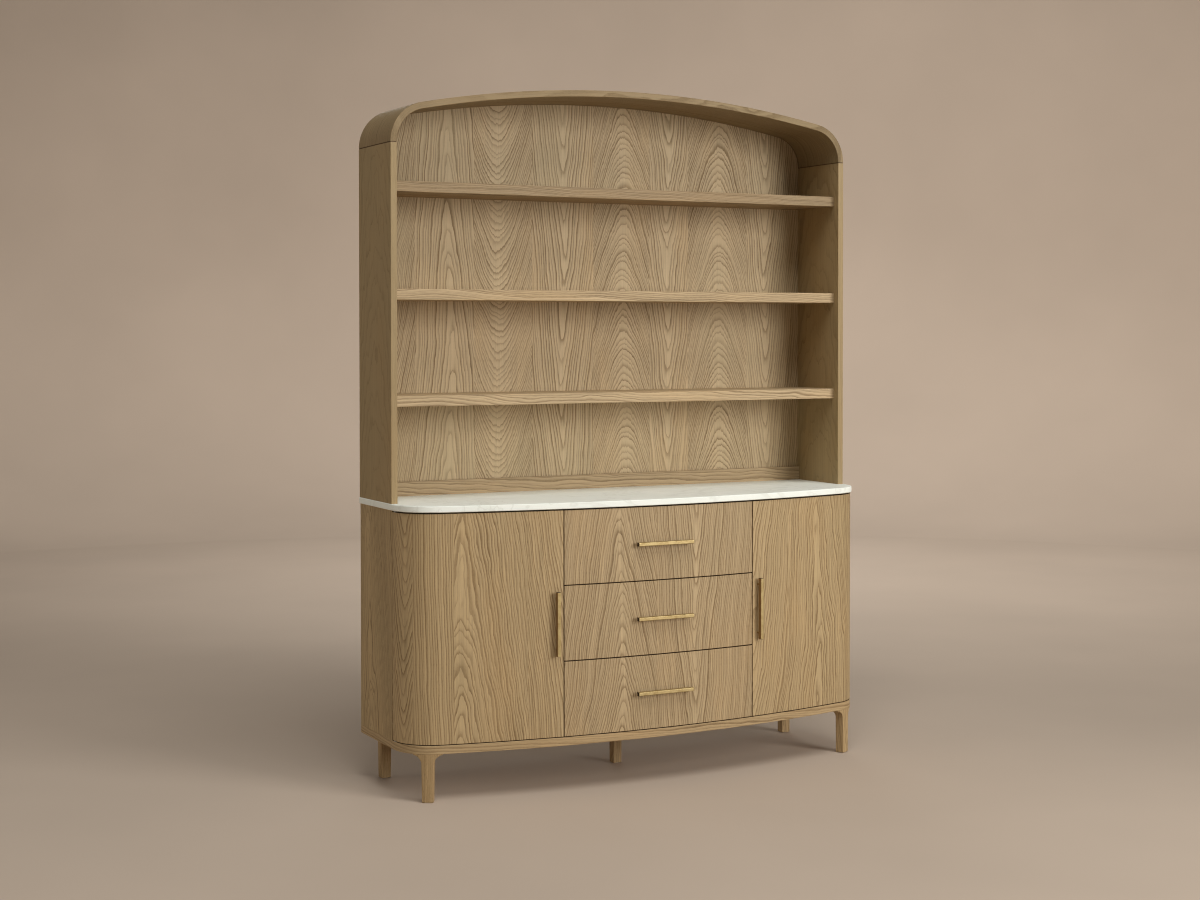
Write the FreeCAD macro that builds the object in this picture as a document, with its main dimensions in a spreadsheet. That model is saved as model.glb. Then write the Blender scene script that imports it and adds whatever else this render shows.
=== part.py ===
import FreeCAD, Part
import math
import os
import re

import Sketcher

# Dresser with hutch: a base cabinet with a bowed front and rounded front corners,
# a stone top, and an open hutch under a bent crown.
# Millimetres. +Z up, front faces -Y, origin on the floor at the centre of the
# object's own box. The back plane of cabinet, stone and hutch is y = back_y.

V = FreeCAD.Vector
os.makedirs("parts", exist_ok=True)
doc = FreeCAD.newDocument("dresser_with_hutch")

# ---------------------------------------------------------------- dimensions
TABLE = [
    ("back_y", 263.75, "back plane of the cabinet in the frame"),
    # base cabinet
    ("base_hw", 841.0, "base: half width"),
    ("base_d", 502.5, "base: depth at the middle of the bow"),
    ("base_bow", 3258.0, "base: radius of the bowed front"),
    ("base_corner", 131.0, "base: radius of the rounded front corners"),
    ("board_z", 150.0, "underside of the bottom board, height of the legs"),
    ("board_t", 26.5, "bottom board thickness"),
    ("board_top", 176.5, "top of the bottom board"),
    ("stone_z", 914.0, "top face of the stone"),
    ("stone_t", 20.0, "stone thickness"),
    ("stone_under", 894.0, "underside of the stone"),
    ("stone_over", 4.5, "stone overhang at front and sides"),
    ("stone_ease", 3.0, "radius of the stone's edges"),
    ("panel_t", 22.0, "side panel thickness"),
    ("seam_y", 279.0, "seam of side panel and door, from the back plane"),
    ("half_gap", 1.5, "half of the reveal between fronts"),
    ("bay_x", 346.0, "middle of the reveal between door and drawers"),
    ("part_t", 18.0, "partition thickness"),
    ("part_front", 460.0, "partition front edge, from the back plane"),
    ("case_off", 28.0, "inset of the case top behind the fronts"),
    ("sub_t", 18.0, "case top thickness"),
    ("sub_under", 876.0, "underside of the case top"),
    ("back_set", 13.0, "back panels set in from the back plane"),
    ("groove", 6.0, "depth of grooves"),
    ("base_back_t", 9.0, "base back panel thickness"),
    ("shelf_z", 515.0, "underside of the shelves behind the doors"),
    ("shelf_thick", 18.0, "thickness of those shelves"),
    ("dowel_r", 4.0, "dowel radius"),
    # doors
    ("door_t", 20.0, "door thickness"),
    ("door_z", 179.0, "door bottom"),
    ("door_top", 889.5, "door top"),
    ("pivot_in", 8.0, "pivot axis behind the door's outer face"),
    ("pivot_y", 293.5, "pivot axis from the back plane"),
    ("pin_r", 4.0, "pivot pin radius"),
    ("bush_in", 4.05, "bush bore radius"),
    ("bush_r", 5.5, "bush outer radius"),
    ("flange_r", 7.0, "flange radius of bush and pivot"),
    ("plate_t", 2.5, "pivot plate thickness"),
    # drawers
    ("front_flat", 463.7, "flat back of the drawer fronts, from the back plane"),
    ("front_h", 235.2, "drawer front height"),
    ("pitch", 238.2, "drawer front pitch"),
    ("box_hw", 324.3, "drawer box half width"),
    ("box_t", 12.0, "drawer box board thickness"),
    ("box_len", 420.0, "drawer box length"),
    ("box_h", 180.0, "drawer box height"),
    ("box_lift", 14.0, "drawer box above the bottom edge of its front"),
    ("bottom_t", 6.0, "drawer bottom thickness"),
    ("bottom_up", 10.0, "drawer bottom above the lower edge of the box"),
    ("runner_len", 400.0, "runner length"),
    ("runner_up", 60.0, "runner axis above the lower edge of the box"),
    ("runner_y", 458.0, "front end of the runners, from the back plane"),
    ("runner_in", 337.0, "partition face that carries the runner"),
    ("steel_t", 1.2, "runner sheet thickness"),
    ("fixed_h", 22.5, "fixed runner half height"),
    ("moving_h", 21.0, "moving runner half height"),
    ("runner_w", 9.5, "runner flange width"),
    # pulls
    ("pull_len", 202.0, "pull length"),
    ("pull_w", 12.0, "pull bar width"),
    ("pull_d", 14.0, "pull bar depth"),
    ("pull_round", 2.2, "radius of the bar's front edges"),
    ("pull_out", 24.0, "pull projection"),
    ("post_r", 4.0, "pull post radius"),
    ("post_x", 80.0, "half of the post spacing"),
    ("bolt_r", 2.0, "pull screw radius"),
    # legs
    ("glide_t", 2.0, "glide thickness"),
    ("leg_h", 148.0, "leg height without its glide"),
    ("leg_wall", 28.5, "front leg thickness across the corner"),
    ("leg_turn", 60.5, "middle of the front leg on the corner, from the side"),
    ("foot_w", 17.5, "front leg half width at the foot"),
    ("neck_w", 19.5, "front leg half width under the flare"),
    ("neck_z", 116.0, "start of the flare"),
    ("flare_r", 29.5, "radius of the flare"),
    ("flare_w", 45.5, "front leg half width at the top"),
    ("back_leg_x", 768.0, "back leg from the middle"),
    ("back_leg_y", 19.5, "back leg from the back plane"),
    ("mid_leg_y", 172.0, "middle leg from the back plane"),
    ("hanger_r", 4.0, "hanger bolt radius"),
    # hutch
    ("hutch_hw", 843.5, "hutch: half width"),
    ("hutch_d", 282.0, "hutch: depth"),
    ("hutch_t", 21.0, "hutch: side and crown thickness"),
    ("seam_z", 2038.0, "hutch: seam of side and crown"),
    ("seam_w", 2.2, "hutch: shadow line at the seam, height"),
    ("seam_cut", 1.6, "hutch: shadow line depth on the faces"),
    ("apex_z", 2238.0, "hutch: top of the crown"),
    ("crown_bow", 3826.0, "crown: radius of the arch"),
    ("crown_corner", 129.0, "crown: shoulder radius"),
    ("hback_t", 12.0, "hutch back panel thickness"),
    ("rail_t", 12.0, "back rail thickness"),
    ("rail_h", 47.0, "back rail height"),
    ("shelf_front", 255.0, "hutch shelf front edge, from the back plane"),
    ("shelf_t", 34.0, "hutch shelf thickness"),
    ("lower_z", 1214.0, "lower hutch shelf underside"),
    ("middle_z", 1549.0, "middle hutch shelf underside"),
    ("upper_z", 1886.5, "upper hutch shelf underside"),
    ("ease", 1.5, "eased wooden edges"),
]
DIM = {}
sheet = doc.addObject("Spreadsheet::Sheet", "Dims")
for row, (alias, value, note) in enumerate(TABLE, 1):
    sheet.set("A%d" % row, note)
    sheet.set("B%d" % row, repr(value))
    sheet.setAlias("B%d" % row, alias)
    DIM[alias] = float(value)
doc.recompute()


def num(e):
    """Value of a sum of products of sheet names and numbers, such as 'back_y - 2 * groove'."""
    if not isinstance(e, str):
        return float(e)
    total = 0.0
    for sign, term in re.findall(r"([+-]?)\s*([^+-]+)", e):
        prod, op = 1.0, "*"
        for tok in re.findall(r"[*/]|[\w.]+", term):
            if tok in "*/":
                op = tok
                continue
            val = DIM[tok] if tok in DIM else float(tok)
            prod = prod * val if op == "*" else prod / val
        total += -prod if sign == "-" else prod
    return total


def bind(obj, prop, e):
    """Ties a property to the sheet."""
    if isinstance(e, str):
        obj.setExpression(prop, re.sub(r"[A-Za-z_]\w*", lambda m: "Dims." + m.group(0) if m.group(0) in DIM else m.group(0), e))


def place(obj, x=0, y=0, z=0, rot=None):
    obj.Placement = FreeCAD.Placement(V(num(x), num(y), num(z)), rot or FreeCAD.Rotation())
    for k, e in (("x", x), ("y", y), ("z", z)):
        bind(obj, "Placement.Base." + k, e)
    return obj


TURN = {
    "z": FreeCAD.Rotation(),
    "x": FreeCAD.Rotation(V(0, 1, 0), 90),
    "-x": FreeCAD.Rotation(V(0, 1, 0), -90),
    "y": FreeCAD.Rotation(V(1, 0, 0), -90),
    "-y": FreeCAD.Rotation(V(1, 0, 0), 90),
    "-z": FreeCAD.Rotation(V(1, 0, 0), 180),
}
NODES = []


def node(obj, label):
    obj.Label = label
    NODES.append(obj)
    return obj


def box(name, x, y, z, lx, ly, lz):
    """Box from its low corner and sizes."""
    o = doc.addObject("Part::Box", name)
    for prop, e in (("Length", lx), ("Width", ly), ("Height", lz)):
        setattr(o, prop, num(e))
        bind(o, prop, e)
    return place(o, x, y, z)


def cyl(name, r, length, x, y, z, axis="z"):
    """Cylinder from the middle of its first end, along an axis."""
    o = doc.addObject("Part::Cylinder", name)
    for prop, e in (("Radius", r), ("Height", length)):
        setattr(o, prop, num(e))
        bind(o, prop, e)
    return place(o, x, y, z, TURN[axis])


def cone(name, r1, r2, length, x, y, z, axis="z"):
    o = doc.addObject("Part::Cone", name)
    for prop, e in (("Radius1", r1), ("Radius2", r2), ("Height", length)):
        setattr(o, prop, num(e))
        bind(o, prop, e)
    return place(o, x, y, z, TURN[axis])


def group(name, objs):
    o = doc.addObject("Part::Compound", name)
    o.Links = objs
    return o


def cut(name, base, tools):
    o = doc.addObject("Part::Cut", name)
    o.Base = base
    o.Tool = tools[0] if len(tools) == 1 else group(name + "_tools", tools)
    return o


def common(name, a, b):
    o = doc.addObject("Part::Common", name)
    o.Base, o.Tool = a, b
    return o


def fuse(name, objs):
    o = doc.addObject("Part::MultiFuse", name)
    o.Shapes = objs
    o.Refine = True
    return o


def mirror(name, src):
    o = doc.addObject("Part::Mirroring", name)
    o.Source = src
    o.Normal = V(1, 0, 0)
    o.Base = V(0, 0, 0)
    return o


def eased(name, base, radius, pick):
    """Rounds the edges for which pick(edge) holds."""
    doc.recompute()
    o = doc.addObject("Part::Fillet", name)
    o.Base = base
    r = num(radius)
    rows = [(i, r, r) for i, e in enumerate(base.Shape.Edges, 1) if pick(e)]
    if not rows:
        raise RuntimeError("no edges to round on " + name)
    o.Edges = rows
    return o


def origin_plane(body, role):
    return [f for f in body.Origin.OriginFeatures if f.Role == role][0]


def new_sketch(body, name, role):
    sk = body.newObject("Sketcher::SketchObject", name)
    sk.AttachmentSupport = (origin_plane(body, role), [""])
    sk.MapMode = "FlatFace"
    return sk


def rule(sk, kind, geo, value, expr):
    """Adds a sized constraint and ties it to the sheet."""
    i = sk.addConstraint(Sketcher.Constraint(kind, *geo, value))
    bind(sk, "Constraints[%d]" % i, expr)


def bow_body(name, hw, apex, bow, corner, back, thick):
    """Flat board with a bowed front: back edge at y = -back, straight sides at x = +-hw, one
    large arc through (0, -apex), and the two front corners rounded tangent to side and arc."""
    body = doc.addObject("PartDesign::Body", name)
    sk = new_sketch(body, name + "_plan", "XY_Plane")
    w, a, r, b = num(hw), num(apex), num(bow), num(back)
    cy = r - a
    yc = cy - math.sqrt(r * r - w * w)
    phi = math.asin(w / r)
    sk.addGeometry(
        [
            Part.LineSegment(V(-w, -b, 0), V(w, -b, 0)),
            Part.LineSegment(V(w, -b, 0), V(w, yc, 0)),
            Part.ArcOfCircle(Part.Circle(V(0, cy, 0), V(0, 0, 1), r), 1.5 * math.pi - phi, 1.5 * math.pi + phi),
            Part.LineSegment(V(-w, yc, 0), V(-w, -b, 0)),
        ],
        False,
    )
    C = Sketcher.Constraint
    sk.addConstraint(
        [
            C("Coincident", 0, 2, 1, 1),
            C("Coincident", 1, 2, 2, 2),
            C("Coincident", 2, 1, 3, 1),
            C("Coincident", 3, 2, 0, 1),
            C("Vertical", 1),
            C("Vertical", 3),
            C("PointOnObject", 2, 3, -2),
            C("Symmetric", 0, 1, 0, 2, -2),
        ]
    )
    rule(sk, "Radius", (2,), r, str(bow))
    rule(sk, "DistanceY", (-1, 1, 2, 3), r - a, "(%s) - (%s)" % (bow, apex))
    rule(sk, "DistanceY", (0, 1, 2, 3), r - a + b, "(%s) - (%s) + (%s)" % (bow, apex, back))
    rule(sk, "DistanceX", (0, 1, 0, 2), 2 * w, "2 * (%s)" % hw)
    pad = body.newObject("PartDesign::Pad", name + "_pad")
    pad.Profile = sk
    pad.Length = num(thick)
    bind(pad, "Length", thick)
    if corner:
        doc.recompute()
        names = []
        for i, e in enumerate(pad.Shape.Edges, 1):
            p, q = e.Vertexes[0].Point, e.Vertexes[-1].Point
            if abs(p.x - q.x) < 1e-6 and abs(p.y - q.y) < 1e-6 and abs(p.y - yc) < 1e-3:
                names.append("Edge%d" % i)
        assert len(names) == 2, (name, names)
        fil = body.newObject("PartDesign::Fillet", name + "_corners")
        fil.Base = (pad, names)
        fil.Radius = num(corner)
        bind(fil, "Radius", corner)
        body.Tip = fil
    return body


def outline(name, inset, z, thick, back="0"):
    """Plan of the cabinet, inset all round, as a board at height z."""
    b = bow_body(
        name,
        "base_hw - %s" % inset,
        "base_d - %s" % inset,
        "base_bow - %s" % inset,
        "base_corner - %s" % inset,
        back,
        thick,
    )
    return place(b, 0, "back_y", z)


def on_outline(edge, hw, apex, bow, corner, z, tol=0.02):
    """True for an edge that follows the plan outline at height z, its back edge left out."""
    p = edge.valueAt(0.5 * (edge.FirstParameter + edge.LastParameter))
    if abs(edge.BoundBox.ZMin - z) > tol or abs(edge.BoundBox.ZMax - z) > tol:
        return False
    return on_wall(p, hw, apex, bow, corner)


def on_wall(p, hw, apex, bow, corner, tol=0.05):
    """True for a point on the upright wall of the plan outline."""
    y = p.y - num("back_y")
    x = abs(p.x)
    cy = bow - apex
    ax = hw - corner
    h2 = (bow - corner) ** 2 - ax ** 2
    ccy = cy - math.sqrt(h2)
    if abs(x - hw) < tol and y > ccy - tol and y < -0.5:
        return True
    if abs(math.hypot(x, y - cy) - bow) < tol and y < 0:
        return True
    return abs(math.hypot(x - ax, y - ccy) - corner) < tol and x > ax and y < ccy + tol


BASE = (num("base_hw"), num("base_d"), num("base_bow"), num("base_corner"))
STONE = tuple(v + num("stone_over") for v in BASE)

# ---------------------------------------------------------------- hardware
# dowels, pins and screws come first: the boards are bored with the same solids
dowels = []
for sx, tag in ((-1, "l"), (1, "r")):
    s = "-" if sx < 0 else ""
    for k, dy in enumerate((60, 230)):
        dowels.append(cyl("dowel_side_%s%d" % (tag, k), "dowel_r", 32, s + "830", "back_y - %d" % dy, "board_top - 14"))
        dowels.append(cyl("dowel_top_%s%d" % (tag, k), "dowel_r", 30, s + "831", "back_y - %d" % (dy + 10), "sub_under + sub_t / 2", "x" if sx < 0 else "-x"))
    for k, dy in enumerate((90, 400)):
        dowels.append(cyl("dowel_part_%s%d" % (tag, k), "dowel_r", 32, s + "bay_x", "back_y - %d" % dy, "board_top - 14"))
        dowels.append(cyl("dowel_part_top_%s%d" % (tag, k), "dowel_r", 28, s + "bay_x", "back_y - %d" % dy, "sub_under - 18"))
case_dowels = node(group("case_dowels", dowels), "case_dowels")

pins = []
for sx, tag in ((-1, "l"), (1, "r")):
    s = "-" if sx < 0 else ""
    for k, dy in enumerate((60, 240)):
        pins.append(cyl("pin_side_%s%d" % (tag, k), 2.5, 20, s + "829", "back_y - %d" % dy, "shelf_z - 2.5", "x" if sx < 0 else "-x"))
    for k, dy in enumerate((60, 420)):
        pins.append(cyl("pin_part_%s%d" % (tag, k), 2.5, 20, s + "345", "back_y - %d" % dy, "shelf_z - 2.5", "-x" if sx < 0 else "x"))
shelf_pins = node(group("shelf_pins", pins), "shelf_pins")

hd = []
for sx, tag in ((-1, "l"), (1, "r")):
    s = "-" if sx < 0 else ""
    for zn in ("lower_z", "middle_z", "upper_z"):
        for k, dy in enumerate((70, 220)):
            hd.append(cyl("hd_%s_%s%d" % (zn, tag, k), "dowel_r", 36, s + "834", "back_y - %d" % dy, "%s + shelf_t / 2" % zn, "x" if sx < 0 else "-x"))
    for k, dy in enumerate((70, 220)):
        hd.append(cyl("hd_seam_%s%d" % (tag, k), "dowel_r", 42, s + "833", "back_y - %d" % dy, "seam_z - 22"))
hutch_dowels = node(group("hutch_dowels", hd), "hutch_dowels")


def screw(name, length, x, y, z, axis):
    """Countersunk screw: the head's flat at x, y, z, pointing along axis."""
    return fuse(name, [cone(name + "_head", 3.5, 1.6, 1.9, x, y, z, axis), cyl(name + "_shank", 1.6, length, x, y, z, axis)])


screws = []
for sx, tag in ((-1, "l"), (1, "r")):
    s = "-" if sx < 0 else ""
    for k, z in enumerate((868, 884, 928, 950)):
        screws.append(screw("plate_screw_%s%d" % (tag, k), 20, s + "832.5", "back_y + 2", z, "-y"))
    for k, x in enumerate((800, 784)):
        screws.append(screw("pivot_screw_%s%d" % (tag, k), 14, "%s%d" % (s, x), "back_y - pivot_y", "stone_under", "-z"))
wood_screws = node(group("wood_screws", screws), "wood_screws")

plates = [box("plate_%s" % t, x, "back_y", 860, 16, 2, 104) for t, x in (("l", "-840.5"), ("r", "824.5"))]
joining_plates = node(cut("joining_plates", group("plate_blanks", plates), [wood_screws]), "joining_plates")

hangers = []
LEGS = []
turn = math.radians(num("leg_turn"))
mid = num("base_corner") - num("leg_wall") / 2
ccx = num("base_hw - base_corner")
ccy_ = num("base_bow - base_d") - math.sqrt(num("base_bow - base_corner") ** 2 - ccx ** 2)
leg_x = ccx + mid * math.cos(turn)
leg_y = ccy_ - mid * math.sin(turn)
for tag, x, y in (
    ("fl", -leg_x, num("back_y") + leg_y),
    ("fr", leg_x, num("back_y") + leg_y),
    ("bl", "-back_leg_x", "back_y - back_leg_y"),
    ("br", "back_leg_x", "back_y - back_leg_y"),
    ("m", 0, "back_y - mid_leg_y"),
):
    LEGS.append((tag, x, y))
    hangers.append(cyl("hanger_" + tag, "hanger_r", 62, x, y, 106))
leg_bolts = node(group("leg_bolts", hangers), "leg_bolts")
foot_glides = node(group("foot_glides", [cyl("glide_" + t, 10, "glide_t", x, y, 0) for t, x, y in LEGS]), "foot_glides")

# pivots: at the top a plate let into the case top, its pin pointing down into the door;
# at the bottom a shouldered pin let into the bottom board
pivots = []
arm = fuse(
    "pivot_arm",
    [
        box("pivot_arm_bar", "-base_hw + pivot_in", "back_y - pivot_y - flange_r", "stone_under - plate_t", 63, "flange_r * 2", "plate_t"),
        cyl("pivot_arm_end", "flange_r", "plate_t", "-base_hw + pivot_in", "back_y - pivot_y", "stone_under - plate_t"),
        cyl("pivot_arm_pin", "pin_r", 16, "-base_hw + pivot_in", "back_y - pivot_y", "stone_under - plate_t - 15"),
    ],
)
arm_cut = cut("pivot_arm_left", arm, [wood_screws])
foot = fuse(
    "pivot_foot_left",
    [
        cyl("pivot_foot_disc", "flange_r", 1.4, "-base_hw + pivot_in", "back_y - pivot_y", "board_top"),
        cyl("pivot_foot_pin", "pin_r", 33, "-base_hw + pivot_in", "back_y - pivot_y", "board_top - 16"),
    ],
)
door_pivots = node(group("door_pivots", [arm_cut, mirror("pivot_arm_right", arm_cut), foot, mirror("pivot_foot_right", foot)]), "door_pivots")

# ---------------------------------------------------------------- panels set in grooves
base_back = doc.addObject("PartDesign::Body", "base_back_blank")
sk = new_sketch(base_back, "base_back_face", "XZ_Plane")
bw, bh = num("base_hw - panel_t + groove"), num("sub_under - board_top + 2 * groove")
z0 = num("board_top - groove")
sk.addGeometry(
    [
        Part.LineSegment(V(-bw, z0, 0), V(bw, z0, 0)),
        Part.LineSegment(V(bw, z0, 0), V(bw, z0 + bh, 0)),
        Part.LineSegment(V(bw, z0 + bh, 0), V(-bw, z0 + bh, 0)),
        Part.LineSegment(V(-bw, z0 + bh, 0), V(-bw, z0, 0)),
    ],
    False,
)
C = Sketcher.Constraint
sk.addConstraint([C("Coincident", i, 2, (i + 1) % 4, 1) for i in range(4)] + [C("Horizontal", 0), C("Vertical", 1), C("Horizontal", 2), C("Vertical", 3)])
rule(sk, "DistanceX", (0, 1, 0, 2), 2 * bw, "2 * (base_hw - panel_t + groove)")
rule(sk, "DistanceX", (0, 1, -1, 1), bw, "base_hw - panel_t + groove")
rule(sk, "DistanceY", (-1, 1, 0, 1), z0, "board_top - groove")
rule(sk, "DistanceY", (1, 1, 1, 2), bh, "sub_under - board_top + 2 * groove")
pad = base_back.newObject("PartDesign::Pad", "base_back_pad")
pad.Profile = sk
pad.Length = num("base_back_t")
bind(pad, "Length", "base_back_t")
place(base_back, 0, "back_y - back_set", 0)
doc.recompute()
base_back_panel = node(base_back, "base_back_panel")

hutch_back = bow_body(
    "hutch_back_blank",
    "hutch_hw - hutch_t + groove",
    "apex_z - hutch_t + groove",
    "crown_bow - hutch_t + groove",
    "crown_corner - hutch_t + groove",
    "stone_z",
    "hback_t",
)
place(hutch_back, 0, "back_y - back_set - hback_t", 0, TURN["y"])
hutch_back_panel = node(hutch_back, "hutch_back_panel")

# ---------------------------------------------------------------- base cabinet
board = outline("bottom_board_blank", "0", "board_z", "board_t")
board_round = eased(
    "bottom_board_round", board, "ease",
    lambda e: on_outline(e, *BASE, num("board_z")) or on_outline(e, *BASE, num("board_top")),
)
node(cut("bottom_board", board_round, [base_back, case_dowels, leg_bolts, door_pivots]), "bottom_board")

side = box("side_blank", "-base_hw", "back_y - seam_y + half_gap", "board_top", "panel_t", "seam_y - half_gap", "stone_under - board_top")
side_round = eased(
    "side_round", side, 1.0,
    lambda e: abs(e.BoundBox.XMax + num("base_hw")) < 0.01 and abs(e.BoundBox.YMax - num("back_y - seam_y + half_gap")) < 0.01,
)
side_left = node(cut("side_panel_left", side_round, [base_back, case_dowels, shelf_pins, wood_screws]), "side_panel_left")
node(mirror("side_panel_right", side_left), "side_panel_right")

part_l = box("partition_blank", "-bay_x - part_t / 2", "back_y - part_front", "board_top", "part_t", "part_front - back_set - base_back_t", "sub_under - board_top")
partition_left = node(cut("partition_left", part_l, [case_dowels, shelf_pins]), "partition_left")
node(mirror("partition_right", partition_left), "partition_right")

sub_front = outline("sub_top_front", "case_off", "sub_under", "sub_t", "100")
sub_rear = box("sub_top_rear", "-base_hw + panel_t", "back_y - 270", "sub_under", "base_hw * 2 - panel_t * 2", 270, "sub_t")
sub_clear = box("sub_top_clear", -400, "back_y - 520", "sub_under - 1", 800, "520 - part_front", "sub_t + 2")
node(cut("sub_top", cut("sub_top_trimmed", fuse("sub_top_blank", [sub_front, sub_rear]), [sub_clear]), [base_back, case_dowels, door_pivots, wood_screws]), "sub_top")

stone = bow_body("stone_blank", "base_hw + stone_over", "base_d + stone_over", "base_bow + stone_over", "base_corner + stone_over", "0", "stone_t")
place(stone, 0, "back_y", "stone_under")
node(
    eased(
        "stone_top", stone, "stone_ease",
        lambda e: on_outline(e, *STONE, num("stone_under")) or on_outline(e, *STONE, num("stone_z")),
    ),
    "stone_top",
)

for name, x in (("inner_shelf_left", "-812"), ("inner_shelf_right", "bay_x + part_t / 2 + 1")):
    tag = name.split("_")[-1]
    plan = bow_body("inner_plan_" + tag, 812, 464, 3220, 104, "back_set + base_back_t + 2", "shelf_thick")
    place(plan, 0, "back_y", "shelf_z")
    keep = box("inner_keep_" + tag, x, "back_y - 480", "shelf_z - 5", "812 - bay_x - part_t / 2 - 1", 470, "shelf_thick + 10")
    node(common(name, plan, keep), name)

# legs
profile = doc.addObject("PartDesign::Body", "front_leg_profile")
sk = new_sketch(profile, "front_leg_shape", "XZ_Plane")
fw, nw, nz, fr, tw, lh = (num(k) for k in ("foot_w", "neck_w", "neck_z", "flare_r", "flare_w", "leg_h"))
ax_ = nw + fr
az = nz + math.sqrt(fr * fr - (ax_ - tw) ** 2)
a_end = math.acos((tw - ax_) / fr)
sk.addGeometry(
    [
        Part.LineSegment(V(-fw, 0, 0), V(fw, 0, 0)),
        Part.LineSegment(V(fw, 0, 0), V(nw, nz, 0)),
        Part.ArcOfCircle(Part.Circle(V(ax_, nz, 0), V(0, 0, 1), fr), a_end, math.pi),
        Part.LineSegment(V(tw, az, 0), V(tw, lh, 0)),
        Part.LineSegment(V(tw, lh, 0), V(-tw, lh, 0)),
        Part.LineSegment(V(-tw, lh, 0), V(-tw, az, 0)),
        Part.ArcOfCircle(Part.Circle(V(-ax_, nz, 0), V(0, 0, 1), fr), 0, math.pi - a_end),
        Part.LineSegment(V(-nw, nz, 0), V(-fw, 0, 0)),
    ],
    False,
)
sk.addConstraint(
    [
        C("Coincident", 0, 2, 1, 1),
        C("Coincident", 1, 2, 2, 2),
        C("Coincident", 2, 1, 3, 1),
        C("Coincident", 3, 2, 4, 1),
        C("Coincident", 4, 2, 5, 1),
        C("Coincident", 5, 2, 6, 2),
        C("Coincident", 6, 1, 7, 1),
        C("Coincident", 7, 2, 0, 1),
        C("PointOnObject", 0, 1, -1),
        C("Vertical", 3),
        C("Vertical", 5),
        C("Symmetric", 0, 1, 0, 2, -2),
        C("Symmetric", 4, 1, 4, 2, -2),
        C("Symmetric", 1, 2, 7, 1, -2),
        C("Horizontal", 1, 2, 2, 3),
        C("Horizontal", 6, 1, 6, 3),
    ]
)
rule(sk, "DistanceX", (0, 1, 0, 2), 2 * fw, "2 * (foot_w)")
rule(sk, "DistanceX", (7, 1, 1, 2), 2 * nw, "2 * (neck_w)")
rule(sk, "DistanceY", (-1, 1, 1, 2), nz, "neck_z")
rule(sk, "DistanceX", (4, 2, 4, 1), 2 * tw, "2 * (flare_w)")
rule(sk, "DistanceY", (-1, 1, 4, 1), lh, "leg_h")
rule(sk, "Radius", (2,), fr, "flare_r")
rule(sk, "Radius", (6,), fr, "flare_r")
pad = profile.newObject("PartDesign::Pad", "front_leg_pad")
pad.Profile = sk
pad.Length = 140
doc.recompute()
# the pad runs along -y of the body; the body is turned so that it points out of the corner
tilt = -(90 - num("leg_turn"))
profile.Placement = FreeCAD.Placement(V(-ccx, num("back_y") + ccy_, num("glide_t")), FreeCAD.Rotation(V(0, 0, 1), tilt))
profile_out = doc.addObject("Part::Cylinder", "leg_out")
profile_out.Radius = num("base_corner")
bind(profile_out, "Radius", "base_corner")
profile_out.Height = 160
place(profile_out, -ccx, num("back_y") + ccy_, 0)
profile_in = doc.addObject("Part::Cylinder", "leg_in")
profile_in.Radius = num("base_corner - leg_wall")
bind(profile_in, "Radius", "base_corner - leg_wall")
profile_in.Height = 160
place(profile_in, -ccx, num("back_y") + ccy_, 0)
# the block reaches from the corner's axis past the outer radius
leg_blank = common("front_leg_blank", profile, cut("leg_ring", profile_out, [profile_in]))
doc.recompute()


def upright(e):
    b = e.BoundBox
    return b.ZLength > 20


leg_soft = eased("front_leg_soft", leg_blank, 1.5, upright)
front_leg_left = node(cut("front_leg_left", leg_soft, [leg_bolts]), "front_leg_left")
node(mirror("front_leg_right", front_leg_left), "front_leg_right")


def square_leg(name, x, y, top, low):
    """Square leg, a little narrower at the foot."""
    o = doc.addObject("Part::Wedge", name + "_wedge")
    o.Xmin, o.Xmax, o.Zmin, o.Zmax = -low / 2, low / 2, -low / 2, low / 2
    o.X2min, o.X2max, o.Z2min, o.Z2max = -top / 2, top / 2, -top / 2, top / 2
    o.Ymin, o.Ymax = 0, num("leg_h")
    bind(o, "Ymax", "leg_h")
    place(o, x, y, "glide_t", TURN["-y"])
    soft = eased(name + "_soft", o, 1.5, upright)
    return node(cut(name, soft, [leg_bolts]), name)


square_leg("back_leg_left", "-back_leg_x", "back_y - back_leg_y", 35, 31)
square_leg("back_leg_right", "back_leg_x", "back_y - back_leg_y", 35, 31)
square_leg("centre_leg", 0, "back_y - mid_leg_y", 32, 30)

# fixed runners: shallow channels on the partitions, open towards the drawer
LEVELS = [("lower", 0), ("middle", 1), ("upper", 2)]
fixed = []
for lv, k in LEVELS:
    z = "door_z + %d * pitch + box_lift + runner_up" % k
    for sx, tag in ((-1, "l"), (1, "r")):
        x_web = "-runner_in" if sx < 0 else "runner_in - runner_w"
        x_cut = "-runner_in + steel_t" if sx < 0 else "runner_in - runner_w"
        fixed.append(
            cut(
                "fixed_%s_%s" % (lv, tag),
                box("fixed_%s_%s_out" % (lv, tag), x_web, "back_y - runner_y", z + " - fixed_h", "runner_w", "runner_len", "2 * fixed_h"),
                [box("fixed_%s_%s_in" % (lv, tag), x_cut, "back_y - runner_y", z + " - fixed_h + steel_t", "runner_w - steel_t", "runner_len", "2 * fixed_h - 2 * steel_t")],
            )
        )
node(group("slide_cabinet_members", fixed), "slide_cabinet_members")

node(
    group(
        "door_catches",
        [box("catch_l", "-bay_x - part_t / 2 - 13", "back_y - 459.5", 838, 13, 12, 36), box("catch_r", "bay_x + part_t / 2", "back_y - 459.5", 838, 13, 12, 36)],
    ),
    "door_catches",
)

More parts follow.
